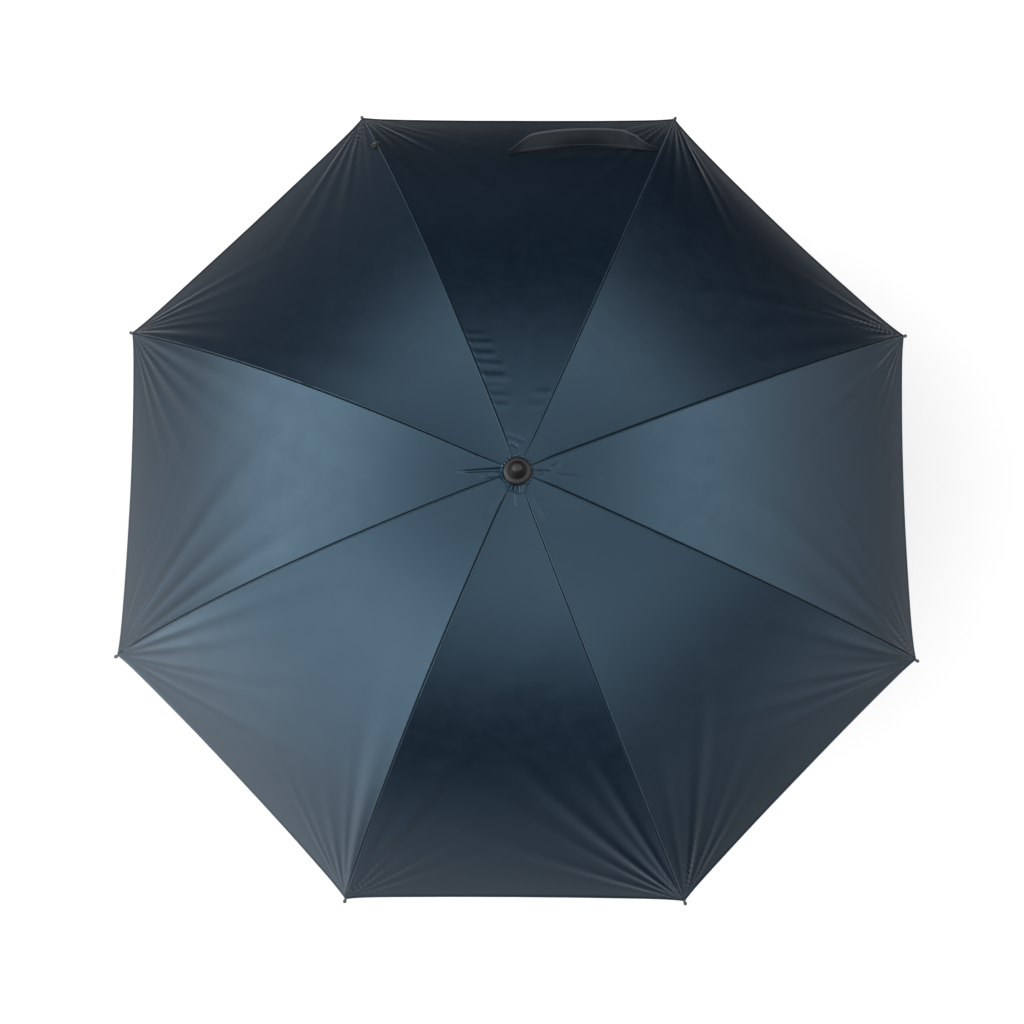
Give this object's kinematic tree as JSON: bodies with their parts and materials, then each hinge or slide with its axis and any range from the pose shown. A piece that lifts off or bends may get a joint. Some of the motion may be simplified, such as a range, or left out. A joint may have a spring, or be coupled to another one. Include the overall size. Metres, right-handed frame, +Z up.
{
  "type": "stick umbrella",
  "caption": "Open stick umbrella with a domed fabric canopy on two-part ribs, a sliding runner with spring catches, a blunt ferrule, a tie strap and a crook handle.",
  "frame": {"origin": "on the shaft's axis in the middle of the grip's straight part, where a hand holds it", "axes": "+Z up the shaft to the ferrule, +X the way the crook turns, +Y to its left; ribs at 22.5 degrees from +X and every 45 degrees from there"},
  "size_m": [0.9768, 0.9768, 0.8022],
  "materials": {
    "cloth": "satin woven polyester, dark blue grey",
    "black_plastic": "satin",
    "tip_plastic": "satin",
    "handle_rubber": "matte rubberised",
    "steel": "plated",
    "black_steel": "satin black",
    "fibreglass": "satin",
    "chrome": "polished"
  },
  "bodies": {
    "shaft_and_handle": {"shaft": "black_steel", "crown": "black_plastic", "crown_wire": "steel", "rosette": "cloth", "top_cap": "black_plastic", "ferrule": "black_plastic", "stop_ring": "steel", "handle": "handle_rubber", "handle_collar": "chrome"},
    "rib_1": {"rib_inner_1": "black_steel", "canopy_panel_1": "cloth"},
    "rib_2": {"rib_inner_2": "black_steel", "canopy_panel_2": "cloth"},
    "rib_3": {"rib_inner_3": "black_steel", "canopy_panel_3": "cloth"},
    "rib_4": {"rib_inner_4": "black_steel", "canopy_panel_4": "cloth"},
    "rib_5": {"rib_inner_5": "black_steel", "canopy_panel_5": "cloth"},
    "rib_6": {"rib_inner_6": "black_steel", "canopy_panel_6": "cloth"},
    "rib_7": {"rib_inner_7": "black_steel", "canopy_panel_7": "cloth"},
    "rib_8": {"rib_inner_8": "black_steel", "canopy_panel_8": "cloth"},
    "rib_1_end": {"rib_outer_1": "fibreglass", "rib_tip_1": "tip_plastic"},
    "rib_2_end": {"rib_outer_2": "fibreglass", "rib_tip_2": "tip_plastic", "tie_strap": "cloth"},
    "rib_3_end": {"rib_outer_3": "fibreglass", "rib_tip_3": "tip_plastic", "strap_stud": "steel"},
    "rib_4_end": {"rib_outer_4": "fibreglass", "rib_tip_4": "tip_plastic"},
    "rib_5_end": {"rib_outer_5": "fibreglass", "rib_tip_5": "tip_plastic"},
    "rib_6_end": {"rib_outer_6": "fibreglass", "rib_tip_6": "tip_plastic"},
    "rib_7_end": {"rib_outer_7": "fibreglass", "rib_tip_7": "tip_plastic"},
    "rib_8_end": {"rib_outer_8": "fibreglass", "rib_tip_8": "tip_plastic"},
    "stretcher_1": {"stretcher_1": "black_steel"},
    "stretcher_2": {"stretcher_2": "black_steel"},
    "stretcher_3": {"stretcher_3": "black_steel"},
    "stretcher_4": {"stretcher_4": "black_steel"},
    "stretcher_5": {"stretcher_5": "black_steel"},
    "stretcher_6": {"stretcher_6": "black_steel"},
    "stretcher_7": {"stretcher_7": "black_steel"},
    "stretcher_8": {"stretcher_8": "black_steel"},
    "runner": {"runner_head": "black_plastic", "runner_wire": "steel", "runner_sleeve": "black_plastic"},
    "top_catch": {"top_catch": "steel"},
    "bottom_catch": {"bottom_catch": "steel"}
  },
  "joints": [
    {"name": "rib_1_hinge", "type": "hinge", "parent": "shaft_and_handle", "child": "rib_1", "pos_m": [0.0097, 0.00402, 0.668], "axis": [-0.3827, 0.9239, 0], "range_deg": [0, 77.4], "deforming": ["canopy_panel_1", "canopy_panel_2", "canopy_panel_3", "canopy_panel_4", "canopy_panel_5", "canopy_panel_6", "canopy_panel_7", "canopy_panel_8", "tie_strap", "top_catch", "bottom_catch"]},
    {"name": "rib_2_hinge", "type": "hinge", "parent": "shaft_and_handle", "child": "rib_2", "pos_m": [0.00402, 0.0097, 0.668], "axis": [-0.9239, 0.3827, 0], "range_deg": [0, 77.5]},
    {"name": "rib_3_hinge", "type": "hinge", "parent": "shaft_and_handle", "child": "rib_3", "pos_m": [-0.00402, 0.0097, 0.668], "axis": [-0.9239, -0.3827, 0], "range_deg": [0, 77.5]},
    {"name": "rib_4_hinge", "type": "hinge", "parent": "shaft_and_handle", "child": "rib_4", "pos_m": [-0.0097, 0.00402, 0.668], "axis": [-0.3827, -0.9239, 0], "range_deg": [0, 77.5]},
    {"name": "rib_5_hinge", "type": "hinge", "parent": "shaft_and_handle", "child": "rib_5", "pos_m": [-0.0097, -0.00402, 0.668], "axis": [0.3827, -0.9239, 0], "range_deg": [0, 77.5]},
    {"name": "rib_6_hinge", "type": "hinge", "parent": "shaft_and_handle", "child": "rib_6", "pos_m": [-0.00402, -0.0097, 0.668], "axis": [0.9239, -0.3827, 0], "range_deg": [0, 77.5]},
    {"name": "rib_7_hinge", "type": "hinge", "parent": "shaft_and_handle", "child": "rib_7", "pos_m": [0.00402, -0.0097, 0.668], "axis": [0.9239, 0.3827, 0], "range_deg": [0, 77.5]},
    {"name": "rib_8_hinge", "type": "hinge", "parent": "shaft_and_handle", "child": "rib_8", "pos_m": [0.0097, -0.00402, 0.668], "axis": [0.3827, 0.9239, 0], "range_deg": [0, 77.5]},
    {"name": "rib_1_flex", "type": "hinge", "parent": "rib_1", "child": "rib_1_end", "pos_m": [0.26038, 0.10785, 0.61971], "axis": [-0.3827, 0.9239, 0], "range_deg": [-19.45, 0]},
    {"name": "rib_2_flex", "type": "hinge", "parent": "rib_2", "child": "rib_2_end", "pos_m": [0.10785, 0.26038, 0.61971], "axis": [-0.9239, 0.3827, 0], "range_deg": [-19.45, 0]},
    {"name": "rib_3_flex", "type": "hinge", "parent": "rib_3", "child": "rib_3_end", "pos_m": [-0.10785, 0.26038, 0.61971], "axis": [-0.9239, -0.3827, 0], "range_deg": [-19.45, 0]},
    {"name": "rib_4_flex", "type": "hinge", "parent": "rib_4", "child": "rib_4_end", "pos_m": [-0.26038, 0.10785, 0.61971], "axis": [-0.3827, -0.9239, 0], "range_deg": [-19.45, 0]},
    {"name": "rib_5_flex", "type": "hinge", "parent": "rib_5", "child": "rib_5_end", "pos_m": [-0.26038, -0.10785, 0.61971], "axis": [0.3827, -0.9239, 0], "range_deg": [-19.45, 0]},
    {"name": "rib_6_flex", "type": "hinge", "parent": "rib_6", "child": "rib_6_end", "pos_m": [-0.10785, -0.26038, 0.61971], "axis": [0.9239, -0.3827, 0], "range_deg": [-19.45, 0]},
    {"name": "rib_7_flex", "type": "hinge", "parent": "rib_7", "child": "rib_7_end", "pos_m": [0.10785, -0.26038, 0.61971], "axis": [0.9239, 0.3827, 0], "range_deg": [-19.45, 0]},
    {"name": "rib_8_flex", "type": "hinge", "parent": "rib_8", "child": "rib_8_end", "pos_m": [0.26038, -0.10785, 0.61971], "axis": [0.3827, 0.9239, 0], "range_deg": [-19.45, 0]},
    {"name": "stretcher_1_hinge", "type": "hinge", "parent": "rib_1", "child": "stretcher_1", "pos_m": [0.2465, 0.1021, 0.61901], "axis": [-0.3827, 0.9239, 0], "range_deg": [-155, 0]},
    {"name": "stretcher_2_hinge", "type": "hinge", "parent": "rib_2", "child": "stretcher_2", "pos_m": [0.1021, 0.2465, 0.61901], "axis": [-0.9239, 0.3827, 0], "range_deg": [-155, 0]},
    {"name": "stretcher_3_hinge", "type": "hinge", "parent": "rib_3", "child": "stretcher_3", "pos_m": [-0.1021, 0.2465, 0.61901], "axis": [-0.9239, -0.3827, 0], "range_deg": [-155, 0]},
    {"name": "stretcher_4_hinge", "type": "hinge", "parent": "rib_4", "child": "stretcher_4", "pos_m": [-0.2465, 0.1021, 0.61901], "axis": [-0.3827, -0.9239, 0], "range_deg": [-155, 0]},
    {"name": "stretcher_5_hinge", "type": "hinge", "parent": "rib_5", "child": "stretcher_5", "pos_m": [-0.2465, -0.1021, 0.61901], "axis": [0.3827, -0.9239, 0], "range_deg": [-155, 0]},
    {"name": "stretcher_6_hinge", "type": "hinge", "parent": "rib_6", "child": "stretcher_6", "pos_m": [-0.1021, -0.2465, 0.61901], "axis": [0.9239, -0.3827, 0], "range_deg": [-155, 0]},
    {"name": "stretcher_7_hinge", "type": "hinge", "parent": "rib_7", "child": "stretcher_7", "pos_m": [0.1021, -0.2465, 0.61901], "axis": [0.9239, 0.3827, 0], "range_deg": [-155, 0]},
    {"name": "stretcher_8_hinge", "type": "hinge", "parent": "rib_8", "child": "stretcher_8", "pos_m": [0.2465, -0.1021, 0.61901], "axis": [0.3827, 0.9239, 0], "range_deg": [-155, 0]},
    {"name": "runner_hinge", "type": "hinge", "parent": "stretcher_1", "child": "runner", "pos_m": [0.0097, 0.00402, 0.57002], "axis": [-0.3827, 0.9239, 0], "range_deg": [0, 77.5]},
    {"name": "top_catch_press", "type": "hinge", "parent": "shaft_and_handle", "child": "top_catch", "pos_m": [0, -0.0031, 0.49462], "axis": [-1, 0, 0], "range_deg": [0, 6.6], "stiffness_Nm_per_rad": 1.5},
    {"name": "bottom_catch_press", "type": "hinge", "parent": "shaft_and_handle", "child": "bottom_catch", "pos_m": [0, -0.0031, 0.13373], "axis": [1, 0, 0], "range_deg": [0, 6.6], "stiffness_Nm_per_rad": 1.5}
  ],
  "couplings": [
    {"joint": "rib_2_hinge", "follows": "rib_1_hinge", "ratio": 1},
    {"joint": "rib_3_hinge", "follows": "rib_1_hinge", "ratio": 1},
    {"joint": "rib_4_hinge", "follows": "rib_1_hinge", "ratio": 1},
    {"joint": "rib_5_hinge", "follows": "rib_1_hinge", "ratio": 1},
    {"joint": "rib_6_hinge", "follows": "rib_1_hinge", "ratio": 1},
    {"joint": "rib_7_hinge", "follows": "rib_1_hinge", "ratio": 1},
    {"joint": "rib_8_hinge", "follows": "rib_1_hinge", "ratio": 1},
    {"joint": "rib_1_flex", "follows": "rib_1_hinge", "ratio": -0.25},
    {"joint": "rib_2_flex", "follows": "rib_1_hinge", "ratio": -0.25},
    {"joint": "rib_3_flex", "follows": "rib_1_hinge", "ratio": -0.25},
    {"joint": "rib_4_flex", "follows": "rib_1_hinge", "ratio": -0.25},
    {"joint": "rib_5_flex", "follows": "rib_1_hinge", "ratio": -0.25},
    {"joint": "rib_6_flex", "follows": "rib_1_hinge", "ratio": -0.25},
    {"joint": "rib_7_flex", "follows": "rib_1_hinge", "ratio": -0.25},
    {"joint": "rib_8_flex", "follows": "rib_1_hinge", "ratio": -0.25},
    {"joint": "stretcher_1_hinge", "follows": "rib_1_hinge", "ratio": -2},
    {"joint": "stretcher_2_hinge", "follows": "rib_1_hinge", "ratio": -2},
    {"joint": "stretcher_3_hinge", "follows": "rib_1_hinge", "ratio": -2},
    {"joint": "stretcher_4_hinge", "follows": "rib_1_hinge", "ratio": -2},
    {"joint": "stretcher_5_hinge", "follows": "rib_1_hinge", "ratio": -2},
    {"joint": "stretcher_6_hinge", "follows": "rib_1_hinge", "ratio": -2},
    {"joint": "stretcher_7_hinge", "follows": "rib_1_hinge", "ratio": -2},
    {"joint": "stretcher_8_hinge", "follows": "rib_1_hinge", "ratio": -2},
    {"joint": "runner_hinge", "follows": "rib_1_hinge", "ratio": 1}
  ]
}
